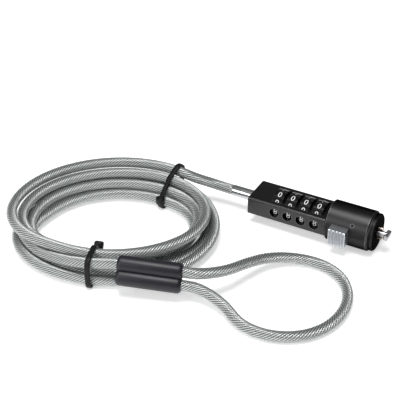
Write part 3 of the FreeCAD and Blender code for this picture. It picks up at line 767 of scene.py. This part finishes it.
second = sleeve.copy()
second.data = sleeve.data.copy()
bpy.context.scene.collection.objects.link(second)
second.location.z = -2 * BORE_OFFSET
place_in_mesh(second)
combine(sleeve, second, "UNION")
BORE = ROPE / 2 + 0.12 * MM
BORE_OVERRUN = 2 * MM
BLIND_WALL = 3 * MM
EDGE_SOFTNESS = 0.18 * MM
combine(sleeve, rod_along_x("bore", BORE, SLEEVE_LENGTH + BORE_OVERRUN, 0, BORE_OFFSET), "DIFFERENCE")
combine(sleeve, rod_along_x("bore", BORE, SLEEVE_LENGTH, BLIND_WALL, -BORE_OFFSET), "DIFFERENCE")
softened = sleeve.modifiers.new("softened", "BEVEL")
softened.width = EDGE_SOFTNESS
softened.segments = 2
softened.limit_method = "ANGLE"
softened.angle_limit = math.radians(40)
apply_modifiers(sleeve)
sleeve.data.transform(Matrix.Translation(SLEEVE_CENTRE) @ SLEEVE_TURN.to_4x4())
only(sleeve)
bpy.ops.object.shade_smooth_by_angle(angle=SMOOTH_ANGLE)
sleeve.data.materials.clear()
sleeve.data.materials.append(sleeve_gloss)
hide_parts("loop_sleeve")
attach(sleeve, "cable")
print("sleeve cover", len(sleeve.data.polygons), "low", [round(v, 4) for v in sleeve.bound_box[0]])

# %% [markdown]
# ## The two ties
# Black nylon ties hold the turns together. A tie lies tight on the strands, so its shape
# comes from them: the rope is cut by the tie's plane, the outline round all the cuts is
# drawn, and a ring of points is laid on it. Extrude makes the ring a band, Solidify gives it
# thickness, and Bevel rounds its edges. The head is a small block with rounded corners.

# %% The outline round the bundle
BAND_WIDTH = 2.5 * MM
BAND = 1.3 * MM
BAND_POINTS = 72
BAND_WALL = 0.8 * BAND
BAND_EDGE = 0.42 * MM
BUNDLE_REACH = 14 * MM
CIRCLE_POINTS = 24


def tie_frame(angle, swing):
    """A tie's place on the oval, its outward direction and the direction square to it."""
    a = math.radians(angle)
    b = math.radians(angle + swing)
    gap = math.copysign(HALF_LONG - HALF_SHORT, math.cos(a))
    turn = Matrix.Rotation(COIL_YAW, 3, "Z")
    out = turn @ Vector((math.cos(b), math.sin(b), 0))
    middle = COIL_CENTRE + turn @ Vector((gap + HALF_SHORT * math.cos(a), HALF_SHORT * math.sin(a), 0))
    return middle, out, turn @ Vector((-math.sin(b), math.cos(b), 0))


def cuts(middle, out, along):
    """Where the rope passes the tie's plane, as (outward, height) pairs."""
    found = []
    for a, b in zip(LINE, LINE[1:]):
        da = (a - middle).dot(along)
        db = (b - middle).dot(along)
        if da * db <= 0 and da != db:
            point = a.lerp(b, da / (da - db))
            outward = (point - middle).dot(out)
            if abs(outward) < BUNDLE_REACH:
                found.append(Vector((outward, point.z)))
    return found


def outline_of(centres, grow):
    """An even ring of points round circles as thick as the rope."""
    dots = []
    for centre in centres:
        for i in range(CIRCLE_POINTS):
            a = math.tau * i / CIRCLE_POINTS
            dots.append(centre + Vector((math.cos(a), math.sin(a))) * (ROPE / 2 + grow))
    ring = [dots[i] for i in convex_hull_2d(dots)]
    loop = [Vector((*dot, 0)) for dot in ring + ring[:1]]
    return resample(loop, path_length(loop) / BAND_POINTS)[:BAND_POINTS]


# %% Bands
def tie_band(name, middle, out, along):
    """A band laid on the strands where the tie's plane cuts them."""
    ring = outline_of(cuts(middle, out, along), BAND)
    bpy.ops.object.select_all(action="DESELECT")
    bpy.ops.mesh.primitive_circle_add(vertices=BAND_POINTS, radius=0.01)
    band = bpy.context.active_object
    band.name = name
    for vertex, spot in zip(band.data.vertices, ring):
        height = max(spot.y, 0)
        vertex.co = middle + out * spot.x + Vector((0, 0, height)) - along * BAND_WIDTH / 2
    bpy.ops.object.mode_set(mode="EDIT")
    bpy.ops.mesh.select_all(action="SELECT")
    bpy.ops.mesh.extrude_region_move(TRANSFORM_OT_translate={"value": along * BAND_WIDTH})
    bpy.ops.mesh.select_all(action="SELECT")
    bpy.ops.mesh.normals_make_consistent(inside=False)
    bpy.ops.object.mode_set(mode="OBJECT")
    wall = band.modifiers.new("wall", "SOLIDIFY")
    wall.thickness = BAND_WALL
    wall.offset = -1
    edge = band.modifiers.new("edge", "BEVEL")
    edge.width = BAND_EDGE
    edge.segments = 3
    edge.limit_method = "ANGLE"
    edge.angle_limit = math.radians(60)
    apply_modifiers(band)
    only(band)
    bpy.ops.object.shade_smooth_by_angle(angle=SMOOTH_ANGLE)
    return band


# %% Heads
HEAD_SIZE = Vector((3.2, 4.4, 4.6)) * MM
HEAD_ROUND = 1.1 * MM


def tie_head(place, out, along, tilt):
    """A tie's head: a rounded block, tilted about the tie's own direction."""
    bpy.ops.object.select_all(action="DESELECT")
    bpy.ops.mesh.primitive_cube_add(size=1)
    head = bpy.context.active_object
    head.scale = HEAD_SIZE
    place_in_mesh(head)
    rounding = head.modifiers.new("rounding", "BEVEL")
    rounding.width = HEAD_ROUND
    rounding.segments = 4
    apply_modifiers(head)
    turn = Matrix((out, along, Vector((0, 0, 1)))).transposed().to_4x4()
    tilting = Matrix.Rotation(math.radians(tilt), 4, "Y")
    head.data.transform(Matrix.Translation(place) @ turn @ tilting)
    return head


# %% Both ties
# Each tie's node, angle on the oval, swing, head's place across the bundle, and head's tilt.
TIES = [
    ("tie_back", 57, -5, Vector((-10.0, 5.2)) * MM, 0),
    ("tie_front", -91, -13, Vector((-9.4, 13.0)) * MM, -35),
]
for node, angle, swing, spot, tilt in TIES:
    middle, out, along = tie_frame(angle, swing)
    band = tie_band(node + "_band", middle, out, along)
    head = tie_head(middle + out * spot.x + Vector((0, 0, spot.y)), out, along, tilt)
    joined([band, head])
    bpy.ops.object.shade_smooth_by_angle(angle=SMOOTH_ANGLE)
    band.data.materials.clear()
    band.data.materials.append(tie_nylon)
    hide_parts(node)
    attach(band, "cable")
    low = [round(min(v.co[i] for v in band.data.vertices), 4) for i in range(3)]

# %% [markdown]
# ## Return spring
# The spring in the barrel gets shorter as the tab goes forward. Its CAD node is stiff, so a
# sweep of the same helix stands for it.

# %% Return spring
SPRING_WIRE = 0.6 * MM
SPRING_TURNS = 4.5
SPRING_STEPS = 28
SPRING_SIDES = 12
spring_low, spring_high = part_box("return_spring")
spring_axis = (spring_low + spring_high) / 2
spring_radius = (spring_high.y - spring_low.y - SPRING_WIRE) / 2
spring_run = spring_high.x - spring_low.x - SPRING_WIRE
helix = []
for i in range(round(SPRING_TURNS * SPRING_STEPS) + 1):
    turned = math.tau * i / SPRING_STEPS
    ahead = spring_low.x + SPRING_WIRE / 2 + spring_run * turned / (math.tau * SPRING_TURNS)
    helix.append(Vector((ahead, spring_axis.y - spring_radius * math.sin(turned),
                         spring_axis.z - spring_radius * math.cos(turned))))

spring = sweep("spring_wire", helix, round_outline(SPRING_WIRE / 2, SPRING_SIDES))
spring.data.materials.append(turned_steel)
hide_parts("return_spring")
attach(spring, "lock_body")
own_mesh(spring)

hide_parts("cable_lead", "cable_coil", "cable_tail", "cable_loop")
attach(jacket, "cable")
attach(strands, "cable")
low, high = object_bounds()
